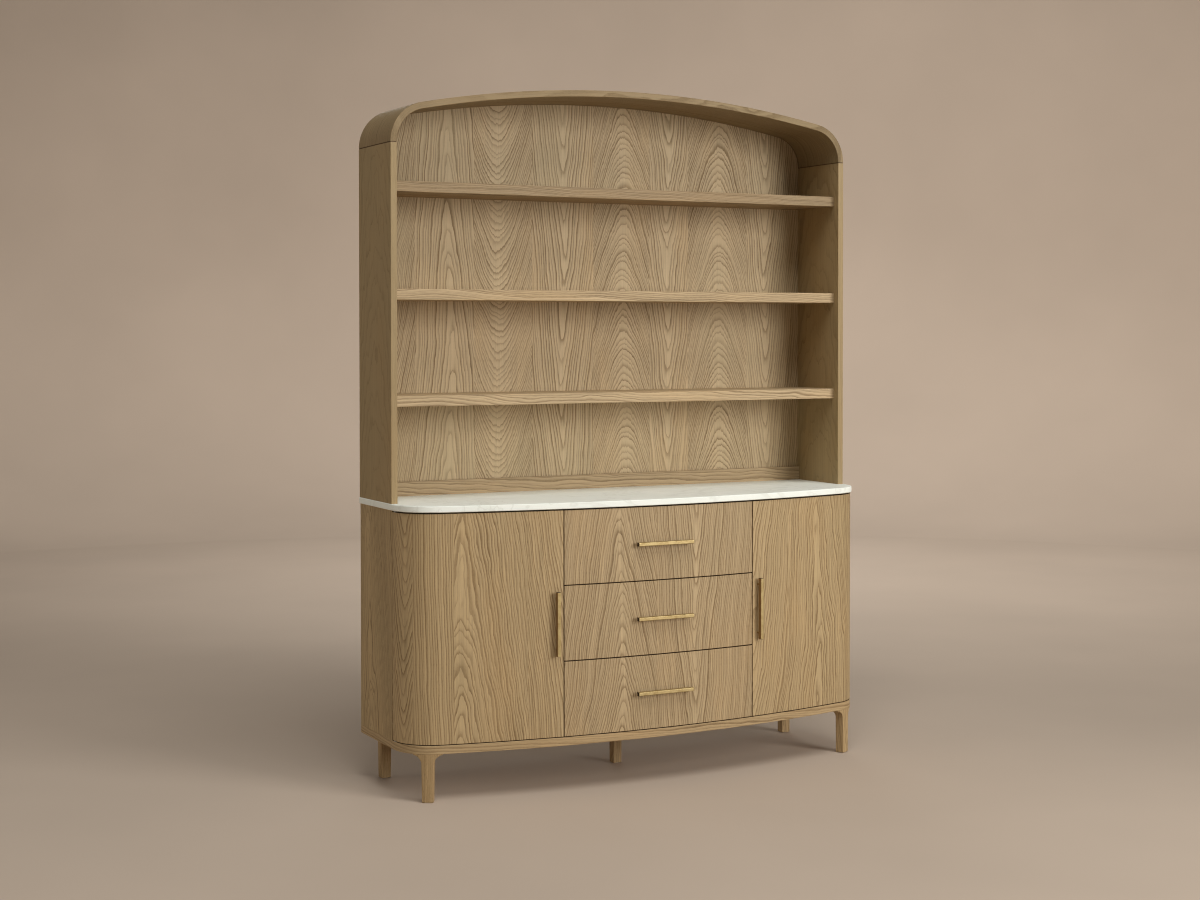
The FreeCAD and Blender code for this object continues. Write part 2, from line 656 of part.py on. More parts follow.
# ---------------------------------------------------------------- pulls
# every pull is made at the middle of the bow; a door's pull is then turned about the bow's axis
face = bow_body("bow_face", "base_hw", "base_d", "base_bow", None, "100", 900)
place(face, 0, "back_y", 10)
BOW_Y = num("back_y + base_bow - base_d")
DOOR_TURN = math.degrees(370.5 / num("base_bow"))
BAR_Y = "back_y - base_d - pull_out"


def pull(tag, upright_bar, z, head_y):
    """Bar, two posts and two screws; head_y is where the screw heads sit, from the back plane."""
    if upright_bar:
        bar = box(tag + "_bar", "-pull_w / 2", BAR_Y, "%s - pull_len / 2" % z, "pull_w", "pull_d", "pull_len")
        ends = [(0, "%s - post_x" % z), (0, "%s + post_x" % z)]
    else:
        bar = box(tag + "_bar", "-pull_len / 2", BAR_Y, "%s - pull_w / 2" % z, "pull_len", "pull_d", "pull_w")
        ends = [("-post_x", z), ("post_x", z)]
    front = num(BAR_Y)

    def front_edge(e):
        return e.Length > 100 and abs(e.BoundBox.YMax - front) < 0.01

    def other_edge(e):
        return e.Length < 100 or e.BoundBox.YMin > front + 6

    nosed = eased(tag + "_bar_nosed", bar, "pull_round", front_edge)
    soft = eased(tag + "_bar_soft", nosed, 0.8, other_edge)
    posts, bolts = [], []
    for k, (x, zz) in enumerate(ends):
        bolts.append(
            fuse(
                "%s_bolt%d" % (tag, k),
                [
                    cyl("%s_head%d" % (tag, k), 4.2, 2.2, x, "back_y - %s" % (head_y - 2.2), zz, "-y"),
                    cyl("%s_shank%d" % (tag, k), "bolt_r", 512 - head_y, x, "back_y - %s" % head_y, zz, "-y"),
                ],
            )
        )
        post = cyl("%s_post%d" % (tag, k), "post_r", 32, x, "back_y - 492", zz, "-y")
        posts.append(cut("%s_post_fit%d" % (tag, k), post, [bar, face, bolts[-1]]))
    return soft, posts, bolts


def turned(name, objs):
    g = group(name, objs)
    g.Placement = FreeCAD.Placement(V(0, 0, 0), FreeCAD.Rotation(V(0, 0, 1), -DOOR_TURN), V(0, BOW_Y, 0))
    return g


# ---------------------------------------------------------------- doors
bar, posts, bolts = pull("dp", True, "door_z + pitch + front_h / 2", 482.5)
door_bolts = turned("door_bolts", bolts)
door_pull_left = node(turned("door_pull_left", [bar] + posts + bolts), "door_pull_left")
node(mirror("door_pull_right", door_pull_left), "door_pull_right")

PX, PY = "-base_hw + pivot_in", "back_y - pivot_y"
bush_low = cut(
    "bush_low",
    fuse("bush_low_blank", [cyl("bush_low_tube", "bush_r", 15, PX, PY, "door_z"), cyl("bush_low_flange", "flange_r", 1, PX, PY, "door_z - 1")]),
    [cyl("bush_low_bore", "bush_in", 20, PX, PY, "door_z - 2")],
)
bush_top = cut(
    "bush_top",
    fuse("bush_top_blank", [cyl("bush_top_tube", "bush_r", 15, PX, PY, "door_top - 15"), cyl("bush_top_flange", "flange_r", 1, PX, PY, "door_top")]),
    [cyl("bush_top_bore", "bush_in", 20, PX, PY, "door_top - 17")],
)
door_bushes_left = node(group("door_bushes_left", [bush_low, bush_top]), "door_bushes_left")
node(mirror("door_bushes_right", door_bushes_left), "door_bushes_right")

door_out = outline("door_outer", "0", "door_z", "door_top - door_z", "200")
door_in = outline("door_inner", "door_t", "door_z - 1", "door_top - door_z + 2", "190")
keep = box("door_keep", "-base_hw - 10", "back_y - 520", "door_z - 5", "base_hw + 10 - bay_x - half_gap", "520 - seam_y - half_gap", "door_top - door_z + 10")
door_blank = common("door_blank", cut("door_skin", door_out, [door_in]), keep)


def door_edge(e):
    z = (e.BoundBox.ZMin, e.BoundBox.ZMax)
    if on_outline(e, *BASE, num("door_z")) or on_outline(e, *BASE, num("door_top")):
        return True
    if z[1] - z[0] > 500:
        return on_wall(e.Vertexes[0].Point, *BASE)
    return False


door_soft = eased("door_soft", door_blank, 1.0, door_edge)
bores = [cyl("door_bore_low", "bush_r", 16, PX, PY, "door_z"), cyl("door_bore_top", "bush_r", 16, PX, PY, "door_top - 16")]
door_left = node(cut("door_left", door_soft, bores + [door_bolts]), "door_left")
node(mirror("door_right", door_left), "door_right")

strike_skin = cut("strike_skin", outline("strike_outer", "20", 844, 24, "200"), [outline("strike_inner", "21.2", 843, 26, "190")])
strike = node(common("catch_strike_left", strike_skin, box("strike_keep", -368, "back_y - 500", 840, 12, 80, 32)), "catch_strike_left")
node(mirror("catch_strike_right", strike), "catch_strike_right")

# ---------------------------------------------------------------- drawers
for lv, k in LEVELS:
    tag = "drawer_" + lv
    z_low = "door_z + %d * pitch" % k
    z_box = z_low + " + box_lift"
    h = "front_h" if k < 2 else "door_top - door_z - 2 * pitch"
    bar, posts, bolts = pull(tag + "_p", False, z_low + " + front_h / 2", 451.7)
    node(group(tag + "_pull", [bar] + posts + bolts), tag + "_pull")
    bolt_set = group(tag + "_bolts", bolts)
    blank = bow_body(tag + "_blank", "bay_x - half_gap", "base_d", "base_bow", None, "front_flat", h)
    place(blank, 0, "back_y", z_low)

    def front_edge(e, blank=blank):
        hw = num("bay_x - half_gap")
        cy = num("back_y + base_bow - base_d")
        p = e.valueAt(0.5 * (e.FirstParameter + e.LastParameter))
        return abs(math.hypot(p.x, p.y - cy) - num("base_bow")) < 0.05 and all(
            abs(math.hypot(v.Point.x, v.Point.y - cy) - num("base_bow")) < 0.05 for v in e.Vertexes
        )

    node(cut(tag + "_front", eased(tag + "_soft", blank, 1.0, front_edge), [bolt_set]), tag + "_front")
    y_front = "back_y - front_flat"
    bottom = node(
        box(tag + "_bottom", "-box_hw + box_t - groove", y_front + " + box_t - groove", z_box + " + bottom_up",
            "2 * box_hw - 2 * box_t + 2 * groove", "box_len - 2 * box_t + 2 * groove", "bottom_t"),
        tag + "_bottom",
    )
    side_l = box(tag + "_side_l", "-box_hw", y_front, z_box, "box_t", "box_len", "box_h")
    side_r = box(tag + "_side_r", "box_hw - box_t", y_front, z_box, "box_t", "box_len", "box_h")
    node(cut(tag + "_sides", group(tag + "_side_pair", [side_l, side_r]), [bottom]), tag + "_sides")
    end_f = box(tag + "_end_f", "-box_hw + box_t", y_front, z_box, "2 * box_hw - 2 * box_t", "box_t", "box_h")
    end_b = box(tag + "_end_b", "-box_hw + box_t", y_front + " + box_len - box_t", z_box, "2 * box_hw - 2 * box_t", "box_t", "box_h")
    node(cut(tag + "_ends", group(tag + "_end_pair", [end_f, end_b]), [bottom, bolt_set]), tag + "_ends")
    moving = []
    z_run = z_box + " + runner_up"
    for sx, t in ((-1, "l"), (1, "r")):
        x_out = "-box_hw - runner_w + 0.8" if sx < 0 else "box_hw"
        x_in = "-box_hw - runner_w + 0.8" if sx < 0 else "box_hw + steel_t"
        moving.append(
            cut(
                "%s_run_%s" % (tag, t),
                box("%s_run_%s_out" % (tag, t), x_out, "back_y - runner_y", z_run + " - moving_h", "runner_w - 0.8", "runner_len", "2 * moving_h"),
                [box("%s_run_%s_in" % (tag, t), x_in, "back_y - runner_y", z_run + " - moving_h + steel_t", "runner_w - 0.8 - steel_t", "runner_len", "2 * moving_h - 2 * steel_t")],
            )
        )
    node(group(tag + "_runners", moving), tag + "_runners")

# ---------------------------------------------------------------- hutch
# a shadow line runs round each joint of side and crown: deeper on the faces, shallow on the front edge
line = []
for s, x_out, x_in in (("l", "-hutch_hw - 1", "-hutch_hw + hutch_t - seam_cut"), ("r", "hutch_hw - seam_cut", "hutch_hw - hutch_t - 1")):
    for t, x in (("o", x_out), ("i", x_in)):
        line.append(box("seam_%s%s" % (s, t), x, "back_y - hutch_d - 1", "seam_z - seam_w / 2", "seam_cut + 1", "hutch_d + 2", "seam_w"))
line.append(box("seam_lf", "-hutch_hw - 1", "back_y - hutch_d - 1", "seam_z - seam_w / 2", "hutch_t + 2", "1.4", "seam_w"))
line.append(box("seam_rf", "hutch_hw - hutch_t - 1", "back_y - hutch_d - 1", "seam_z - seam_w / 2", "hutch_t + 2", "1.4", "seam_w"))
seam_line = group("seam_line", line)

hs = box("hutch_side_blank", "-hutch_hw", "back_y - hutch_d", "stone_z", "hutch_t", "hutch_d", "seam_z - stone_z")


def hutch_side_edge(e):
    b = e.BoundBox
    front = abs(b.YMax - num("back_y - hutch_d")) < 0.01 and b.ZLength > 100
    return front


hs_soft = eased("hutch_side_soft", hs, "ease", hutch_side_edge)
hutch_side_left = node(cut("hutch_side_left", hs_soft, [hutch_back, hutch_dowels, wood_screws, seam_line]), "hutch_side_left")
node(mirror("hutch_side_right", hutch_side_left), "hutch_side_right")

crown_out = bow_body("crown_outer", "hutch_hw", "apex_z", "crown_bow", "crown_corner", "seam_z", "hutch_d")
place(crown_out, 0, "back_y - hutch_d", 0, TURN["y"])
crown_in = bow_body("crown_inner", "hutch_hw - hutch_t", "apex_z - hutch_t", "crown_bow - hutch_t", "crown_corner - hutch_t", "seam_z - 10", "hutch_d + 2")
place(crown_in, 0, "back_y - hutch_d - 1", 0, TURN["y"])
crown_blank = cut("crown_blank", crown_out, [crown_in])


def crown_edge(e):
    b = e.BoundBox
    return abs(b.YMax - num("back_y - hutch_d")) < 0.01 and b.ZMax > num("seam_z") + 0.5


crown_soft = eased("crown_soft", crown_blank, "ease", crown_edge)
node(cut("hutch_crown", crown_soft, [hutch_back, hutch_dowels, seam_line]), "hutch_crown")

for name, z in (("hutch_shelf_lower", "lower_z"), ("hutch_shelf_middle", "middle_z"), ("hutch_shelf_upper", "upper_z")):
    b = box(name + "_blank", "-hutch_hw + hutch_t", "back_y - shelf_front", z, "2 * hutch_hw - 2 * hutch_t", "shelf_front - back_set - hback_t", "shelf_t")
    soft = eased(name + "_soft", b, "ease", lambda e: e.BoundBox.XLength > 100 and abs(e.BoundBox.YMax - num("back_y - shelf_front")) < 0.01)
    node(cut(name, soft, [hutch_dowels]), name)

rail = box("rail_blank", "-hutch_hw + hutch_t", "back_y - back_set - hback_t - rail_t", "stone_z", "2 * hutch_hw - 2 * hutch_t", "rail_t", "rail_h")
node(
    eased("hutch_back_rail", rail, 1.0, lambda e: e.BoundBox.XLength > 100 and e.BoundBox.ZMin > num("stone_z + 10") and e.BoundBox.YMax < num("back_y - back_set - hback_t") - 1),
    "hutch_back_rail",
)

# ---------------------------------------------------------------- checks and files
doc.recompute()
bad = [(o.Label, o.State) for o in doc.Objects if "Invalid" in o.State or "Error" in o.State]
if bad:
    raise RuntimeError("failed objects: %s" % bad)
if len(NODES) > 60 or len({o.Label for o in NODES}) != len(NODES):
    raise RuntimeError("node count or names")
for o in NODES:
    shp = o.Shape
    if shp.isNull() or not shp.isValid() or not shp.Solids or shp.Volume <= 0:
        raise RuntimeError("bad shape: " + o.Label)
box_all = FreeCAD.BoundBox()
for o in NODES:
    box_all.add(o.Shape.BoundBox)
    o.Shape.exportStep("parts/%s.step" % o.Label)
print(len(NODES), "nodes")
print("size %.2f x %.2f x %.2f" % (box_all.XLength, box_all.YLength, box_all.ZLength))
print("box", box_all)
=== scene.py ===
import math

import bpy
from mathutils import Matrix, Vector

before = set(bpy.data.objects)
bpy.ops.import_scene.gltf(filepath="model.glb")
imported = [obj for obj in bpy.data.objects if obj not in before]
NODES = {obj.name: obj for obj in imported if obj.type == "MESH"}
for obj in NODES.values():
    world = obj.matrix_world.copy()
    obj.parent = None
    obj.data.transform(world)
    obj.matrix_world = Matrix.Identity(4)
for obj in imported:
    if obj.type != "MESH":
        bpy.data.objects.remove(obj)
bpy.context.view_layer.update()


# ---------------------------------------------------------------- node helpers
def srgb(r, g, b):
    """An 8-bit display colour as a linear one."""
    def one(v):
        v /= 255.0
        return v / 12.92 if v <= 0.04045 else ((v + 0.055) / 1.055) ** 2.4
    return (one(r), one(g), one(b), 1.0)


class Net:
    """Short ways to add nodes to a tree."""

    def __init__(self, tree):
        self.tree = tree

    def add(self, kind, **props):
        n = self.tree.nodes.new(kind)
        for k, v in props.items():
            setattr(n, k, v)
        return n

    def put(self, socket, value):
        if isinstance(value, bpy.types.NodeSocket):
            self.tree.links.new(value, socket)
        else:
            socket.default_value = value

    def math(self, op, a, b=None, c=None, clamp=False):
        n = self.add("ShaderNodeMath", operation=op, use_clamp=clamp)
        for i, v in enumerate((a, b, c)):
            if v is not None:
                self.put(n.inputs[i], v)
        return n.outputs[0]

    def plus(self, a, b):
        return self.math("ADD", a, b)

    def times(self, a, b):
        return self.math("MULTIPLY", a, b)

    def xyz(self, x, y, z):
        n = self.add("ShaderNodeCombineXYZ")
        for i, v in enumerate((x, y, z)):
            self.put(n.inputs[i], v)
        return n.outputs[0]

    def split(self, v):
        n = self.add("ShaderNodeSeparateXYZ")
        self.put(n.inputs[0], v)
        return n.outputs[0], n.outputs[1], n.outputs[2]

    def noise(self, vector, scale=1.0, detail=0.0, rough=0.5, twist=0.0):
        n = self.add("ShaderNodeTexNoise", noise_dimensions="3D")
        self.put(n.inputs["Vector"], vector)
        n.inputs["Scale"].default_value = scale
        n.inputs["Detail"].default_value = detail
        n.inputs["Roughness"].default_value = rough
        n.inputs["Distortion"].default_value = twist
        return n.outputs[0]

    def noise1(self, w, detail=0.0):
        n = self.add("ShaderNodeTexNoise", noise_dimensions="1D")
        self.put(n.inputs["W"], w)
        n.inputs["Scale"].default_value = 1.0
        n.inputs["Detail"].default_value = detail
        return n.outputs[0]

    def white(self, w):
        n = self.add("ShaderNodeTexWhiteNoise", noise_dimensions="1D")
        self.put(n.inputs["W"], w)
        return n.outputs[0]

    def span(self, v, a, b, c=0.0, d=1.0, smooth=False):
        n = self.add("ShaderNodeMapRange", interpolation_type="SMOOTHSTEP" if smooth else "LINEAR")
        self.put(n.inputs[0], v)
        for i, x in enumerate((a, b, c, d)):
            n.inputs[i + 1].default_value = x
        return n.outputs[0]

    def ramp(self, fac, stops, kind="LINEAR"):
        n = self.add("ShaderNodeValToRGB")
        r = n.color_ramp
        r.interpolation = kind
        while len(r.elements) < len(stops):
            r.elements.new(0.5)
        for e, (at, colour) in zip(r.elements, stops):
            e.position = at
            e.color = colour if hasattr(colour, "__len__") else (colour, colour, colour, 1.0)
        self.put(n.inputs[0], fac)
        return n.outputs[0]

    def mix(self, fac, a, b, blend="MIX"):
        n = self.add("ShaderNodeMix", data_type="RGBA", blend_type=blend)
        self.put(n.inputs["Factor"], fac)
        self.put(n.inputs[6], a)
        self.put(n.inputs[7], b)
        return n.outputs[2]

    def pick(self, test, no, yes):
        """yes where test is 1, no where it is 0."""
        return self.plus(self.times(self.math("SUBTRACT", yes, no), test), no)

    def object_point(self):
        return self.add("ShaderNodeTexCoord").outputs["Object"]


def group(name, ins, outs):
    g = bpy.data.node_groups.new(name, "ShaderNodeTree")
    for n, kind in ins:
        g.interface.new_socket(n, in_out="INPUT", socket_type=kind)
    for n, kind in outs:
        g.interface.new_socket(n, in_out="OUTPUT", socket_type=kind)
    net = Net(g)
    return g, net, net.add("NodeGroupInput"), net.add("NodeGroupOutput")


F, C3, V3 = "NodeSocketFloat", "NodeSocketColor", "NodeSocketVector"


# ------------------------------------------------------- wrapped wood directions
def make_front_wrap():
    """A point of the base to (distance along the rounded plan outline, depth under it)."""
    g, n, i, o = group("front_wrap", [("Point", V3)], [("Along", F), ("Under", F)])
    x, y, _ = n.split(i.outputs[0])
    ax, side = n.math("ABSOLUTE", x), n.math("SIGN", x)
    far = n.math("SUBTRACT", 3.01925, y)
    turn = n.math("ARCTAN2", ax, far)
    bow_s = n.times(turn, 3.258)
    bow_w = n.math("SUBTRACT", 3.258, n.math("SQRT", n.plus(n.times(ax, ax), n.times(far, far))))
    cx, cy = n.math("SUBTRACT", ax, 0.710), n.math("SUBTRACT", -0.02608, y)
    corner_s = n.plus(n.times(n.math("ARCTAN2", cx, cy), 0.131), 0.7463 - 0.131 * 0.22906)
    corner_w = n.math("SUBTRACT", 0.131, n.math("SQRT", n.plus(n.times(cx, cx), n.times(cy, cy))))
    side_s = n.plus(y, 0.9221 + 0.02608)
    side_w = n.math("SUBTRACT", 0.841, ax)
    on_corner = n.math("GREATER_THAN", turn, 0.22906)
    on_side = n.math("GREATER_THAN", y, -0.02608)
    s = n.pick(on_side, n.pick(on_corner, bow_s, corner_s), side_s)
    w = n.pick(on_side, n.pick(on_corner, bow_w, corner_w), side_w)
    n.put(o.inputs[0], n.times(s, side))
    n.put(o.inputs[1], w)
    return g


def make_crown_wrap():
    """A point of the crown to (distance along its arch, depth under it)."""
    g, n, i, o = group("crown_wrap", [("Point", V3)], [("Along", F), ("Under", F)])
    x, _, z = n.split(i.outputs[0])
    ax, side = n.math("ABSOLUTE", x), n.math("SIGN", x)
    far = n.plus(z, 1.588)
    turn = n.math("ARCTAN2", ax, far)
    bow_s = n.times(turn, 3.826)
    bow_w = n.math("SUBTRACT", 3.826, n.math("SQRT", n.plus(n.times(ax, ax), n.times(far, far))))
    cx, cz = n.math("SUBTRACT", ax, 0.7145), n.math("SUBTRACT", z, 2.0393)
    corner_s = n.plus(n.times(n.math("ARCTAN2", cx, cz), 0.129), 0.74408 - 0.129 * 0.19448)
    corner_w = n.math("SUBTRACT", 0.129, n.math("SQRT", n.plus(n.times(cx, cx), n.times(cz, cz))))
    on_corner = n.math("GREATER_THAN", turn, 0.19448)
    n.put(o.inputs[0], n.times(n.pick(on_corner, bow_s, corner_s), side))
    n.put(o.inputs[1], n.pick(on_corner, bow_w, corner_w))
    return g


FRONT_WRAP, CROWN_WRAP = make_front_wrap(), make_crown_wrap()


# ------------------------------------------------------------------------- oak
LINE = 0.028    # a line's share of its ring is this times (rings a metre) to the power 0.62
OAK_IN = ["U", "V", "W", "Centre", "Rate", "Depth", "Pitch", "Phase", "Sway", "Tone", "Swirl at", "Swirl"]


def make_oak():
    """Sawn or sliced oak. U is across the board, V along the grain and W its depth, in metres.
    The growth rings are cones about a pith line at U = Centre, Depth behind the face. Rate rings a metre along V give the
    arches, which point up where it is positive and down where it is negative. Swirl rings are added round V = Swirl at,
    as where the trunk grew round a twig."""
    g, n, i, o = group(
        "oak", [(k, F) for k in OAK_IN],
        [("Band", F), ("Pore", F), ("Fibre", F), ("Drift", F), ("Streak", F)],
    )
    U, V, W, centre, rate, depth, pitch, phase, sway, tone, swirl_at, swirl = i.outputs[:12]
    seed = n.times(phase, 31.7)

    def about(noise, amount):
        return n.times(n.math("SUBTRACT", noise, 0.5), amount)

    # the heart of the figure wanders a little along the board
    wander = n.noise(n.xyz(seed, n.times(V, 1.9), 0.0), 1.0, 1.0)
    du = n.plus(n.math("SUBTRACT", U, centre), about(wander, n.times(sway, 0.11)))
    dw = n.plus(W, depth)
    radius = n.math("SQRT", n.plus(n.times(du, du), n.times(dw, dw)))
    radial = n.math("DIVIDE", n.times(radius, n.plus(n.times(radius, 1.2), 1.0)), pitch)
    slow = n.noise(n.xyz(n.plus(n.times(U, 2.2), seed), n.times(V, 4.5), n.times(W, 3.0)), 1.0, 1.0)
    run = n.plus(V, about(slow, n.times(sway, 0.13)))
    ring = n.plus(radial, n.plus(n.times(run, rate), n.times(phase, 13.7)))
    above, aside = n.times(n.math("SUBTRACT", V, swirl_at), 10.5), n.times(du, 26.0)
    near = n.math("EXPONENT", n.times(n.plus(n.times(above, above), n.times(aside, aside)), -1.0))
    near = n.times(near, swirl)
    ring = n.plus(ring, near)
    # rings a metre across the face, so that a line keeps nearly the same width where it runs flat
    across = n.plus(n.math("DIVIDE", n.math("DIVIDE", n.times(du, n.plus(n.times(radius, 2.4), 1.0)), radius), pitch), n.times(n.times(near, aside), -52.0))
    along = n.plus(rate, n.times(n.times(near, above), -21.0))
    steep = n.math("SQRT", n.plus(n.times(across, across), n.times(along, along)))
    width = n.times(n.math("POWER", steep, 0.62), LINE)
    wavy = n.noise(n.xyz(n.plus(n.times(U, 24.0), seed), n.times(V, 8.0), n.times(W, 12.0)), 1.0, 2.0)
    ring = n.plus(ring, about(wavy, n.times(sway, 3.4)))
    # ragged edges of the rings: short steps along the grain from one row of pores to the next
    comb = n.noise(n.xyz(n.times(U, 170.0), n.plus(n.times(V, 13.0), seed), n.times(W, 170.0)), 1.0, 1.5)
    ring = n.plus(ring, about(comb, n.plus(n.times(n.math("ABSOLUTE", rate), 0.009), 0.20)))
    uneven = n.noise1(n.plus(n.times(ring, 0.45), seed), 1.0)
    ring = n.plus(ring, about(uneven, 1.25))
    part = n.math("FRACT", ring)
    each = n.white(n.plus(n.math("FLOOR", ring), seed))
    # a sharp dark start, a porous body and a soft tail
    line = n.ramp(n.math("DIVIDE", part, n.times(width, 2.0)), [(0.0, 0.25), (0.05, 1.0), (0.24, 0.92), (0.42, 0.46), (0.66, 0.16), (1.0, 0.0)])
    band = n.times(n.times(line, n.plus(n.times(each, 0.55), 0.45)), n.span(steep, 18.0, 90.0, 0.66, 1.0))
    fibre = n.noise(n.xyz(n.times(U, 1300.0), n.times(V, 26.0), n.times(W, 1300.0)), 1.0, 2.0)
    streak = n.noise(n.xyz(n.plus(n.times(U, 230.0), seed), n.times(V, 3.4), n.times(W, 230.0)), 1.0, 2.0)
    dash = n.noise(n.xyz(n.times(U, 2100.0), n.times(V, 95.0), n.times(W, 2100.0)), 1.0, 0.0)
    pore = n.times(n.span(dash, 0.56, 0.70, smooth=True), n.plus(n.times(band, 0.85), 0.15))
    drift = n.noise(n.xyz(n.plus(n.times(U, 6.0), n.times(seed, 1.3)), n.times(V, 1.6), n.times(W, 3.0)), 1.0, 2.0)
    drift = n.plus(drift, tone)
    for k, v in enumerate((band, pore, fibre, drift, streak)):
        n.put(o.inputs[k], v)
    return g


OAK = make_oak()

# Each row is one leaf of veneer: where it starts across the board, then its Centre, Rate, Depth, Pitch, Phase, Sway and
# Tone, and where it has one, Swirl at and Swirl.
RANGES = [(-1.3, 1.3), (-60.0, 60.0), (0.0, 0.2), (0.002, 0.022), (0.0, 1.0), (0.0, 2.0), (-0.5, 0.5), (0.0, 2.4), (-5.0, 5.0)]


def leaf_sockets(n, u, rows, low, high):
    """The leaf's numbers at u, as nine sockets."""
    at = n.span(u, low, high)
    sockets = []
    for first in (0, 3, 6):
        stops = []
        for row in rows:
            whole = list(row[1:]) + [0.0] * (10 - len(row))
            vals = [(v - lo) / (hi - lo) for v, (lo, hi) in zip(whole, RANGES)][first:first + 3]
            stops.append((max(0.0, (row[0] - low) / (high - low)), (*vals, 1.0)))
        colour = n.ramp(at, stops, "CONSTANT")
        sep = n.add("ShaderNodeSeparateColor")
        n.put(sep.inputs[0], colour)
        sockets += list(sep.outputs[:3])
    return [n.plus(n.times(s, hi - lo), lo) for s, (lo, hi) in zip(sockets, RANGES)]


def new_material(name):
    m = bpy.data.materials.new(name)
    m.use_nodes = True
    t = m.node_tree
    t.nodes.clear()
    n = Net(t)
    out = n.add("ShaderNodeOutputMaterial")
    bsdf = n.add("ShaderNodeBsdfPrincipled")
    t.links.new(bsdf.outputs[0], out.inputs[0])
    return m, n, bsdf


def bump(n, bsdf, height, distance, strength):
    b = n.add("ShaderNodeBump")
    b.inputs["Strength"].default_value = strength
    b.inputs["Distance"].default_value = distance
    n.put(b.inputs["Height"], height)
    n.put(bsdf.inputs["Normal"], b.outputs[0])


LIGHT_OAK = srgb(180, 157, 121)
DARK_OAK = srgb(123, 101, 69)


def oak_material(name, coords, leaf=None, rows=None, low=-1.0, high=1.0, light=LIGHT_OAK, dark=DARK_OAK,
                 contrast=0.8, grain=0.36, gap_shade_facing=None, gap_shade_or_glue_line=None):
    """coords is a function of the net that gives U, V, W. leaf is one row of numbers, or rows is a table of them
    across U. The direction given for gaps, if any, gets painted shade: the faces that look that way are darkened,
    standing for the shade behind a gap. The function given for dark lines, if any, takes the net and W and gives how
    much darkening there is at a point: painted shade in the gaps by the fronts and on the bottom board, and the dark
    glue line of the crown's joints."""
    m, n, bsdf = new_material(name)
    u, v, w = coords(n)
    numbers = leaf if rows is None else leaf_sockets(n, u, rows, low, high)
    g = n.add("ShaderNodeGroup", node_tree=OAK)
    for s, value in zip(g.inputs, [u, v, w, *numbers]):
        n.put(s, value)
    band, pore, fibre, drift, streak = g.outputs[:5]
    colour = n.mix(n.times(band, contrast), light, dark)
    # slow drifts of the veneer's own colour, cooler one way and warmer the other
    cool = tuple(a * b for a, b in zip(light[:3], (0.80, 0.85, 0.84))) + (1.0,)
    tan = tuple(a * b for a, b in zip(light[:3], (1.03, 0.94, 0.82))) + (1.0,)
    colour = n.mix(n.span(drift, 0.52, 0.80, 0.0, 0.40), colour, cool)
    colour = n.mix(n.span(drift, 0.46, 0.22, 0.0, 0.42), colour, tan)
    shade = n.plus(n.times(n.math("SUBTRACT", streak, 0.5), grain), 1.0)
    shade = n.plus(shade, n.times(n.math("SUBTRACT", fibre, 0.5), 0.30))
    shade = n.plus(shade, n.times(pore, -0.34))
    # painted shade: faces that look the given way are darkened to 0.22 of their colour, standing for the shade behind a
    # gap
    if gap_shade_facing:
        normal = n.add("ShaderNodeNewGeometry").outputs["Normal"]
        facing = n.math("ADD", *[n.times(c, k) for c, k in zip(n.split(normal), gap_shade_facing) if k] + [0.0] * (2 - sum(map(bool, gap_shade_facing))))
        shade = n.times(shade, n.span(facing, 0.5, 0.8, 1.0, 0.22))
    colour = n.mix(1.0, colour, n.xyz(shade, shade, shade), "MULTIPLY")
    # painted shade in the gaps by the fronts and on the bottom board, and the real dark glue line of the crown joints:
    # the colour is darkened by (0.34, 0.26, 0.20) where the given function says
    if gap_shade_or_glue_line:
        colour = n.mix(gap_shade_or_glue_line(n, w), colour, n.mix(1.0, colour, (0.34, 0.26, 0.20, 1.0), "MULTIPLY"))
    n.put(bsdf.inputs["Base Color"], colour)
    rough = n.plus(n.plus(n.times(band, 0.10), n.times(pore, 0.14)), n.plus(n.times(fibre, 0.10), 0.46))
    n.put(bsdf.inputs["Roughness"], rough)
    bsdf.inputs["Specular IOR Level"].default_value = 0.24
    height = n.plus(n.plus(n.times(band, -0.35), n.times(pore, -1.0)), n.times(fibre, 0.5))
    bump(n, bsdf, height, 0.00022, 0.45)
    return m


def front_gap_shade(thick):
    """Painted shade on the edges of a front, standing for the dark gaps around it: under its face, but not on its back.
    """
    def gap_shade_or_glue_line(n, under):
        side = n.span(under, 0.0003, 0.0011)
        before = n.math("LESS_THAN", under, thick - 0.0004)
        normal = n.add("ShaderNodeTexCoord").outputs["Normal"]
        forward = n.math("LESS_THAN", n.split(normal)[1], 0.3)
        return n.times(n.times(side, before), forward)
    return gap_shade_or_glue_line


def board_edges(n, under):
    """The shadow line on top of the bottom board, under the fronts."""
    z = n.split(n.object_point())[2]
    top = n.span(z, 0.1758, 0.1763)
    return n.times(n.times(top, n.span(under, 0.0008, 0.0022)), n.math("LESS_THAN", under, 0.021))


def joint_line(n, _):
    """The dark glue line of the joints between the hutch's sides and its crown."""
    z = n.split(n.object_point())[2]
    return n.span(n.math("ABSOLUTE", n.math("SUBTRACT", z, 2.038)), 0.0008, 0.0024, 1.0, 0.0)


def straight(u, v, w, du=0.0, dv=0.0, dw=0.0):
    """U, V, W as signed axes of the frame, such as ("x", "z", "y")."""
    def coords(n):
        axes = dict(zip("xyz", n.split(n.object_point())))
        out = []
        for k, off in ((u, du), (v, dv), (w, dw)):
            s = axes[k[-1]]
            if k[0] == "-":
                s = n.times(s, -1.0)
            out.append(n.plus(s, off) if off else s)
        return out
    return coords


def wrapped(tree, order):
    """order says which of Along, Under and the axes U, V and W take."""
    def coords(n):
        p = n.object_point()
        g = n.add("ShaderNodeGroup", node_tree=tree)
        n.put(g.inputs[0], p)
        axes = dict(zip("xyz", n.split(p)))
        axes["along"], axes["under"] = g.outputs[0], g.outputs[1]
        return [axes[k] for k in order]
    return coords


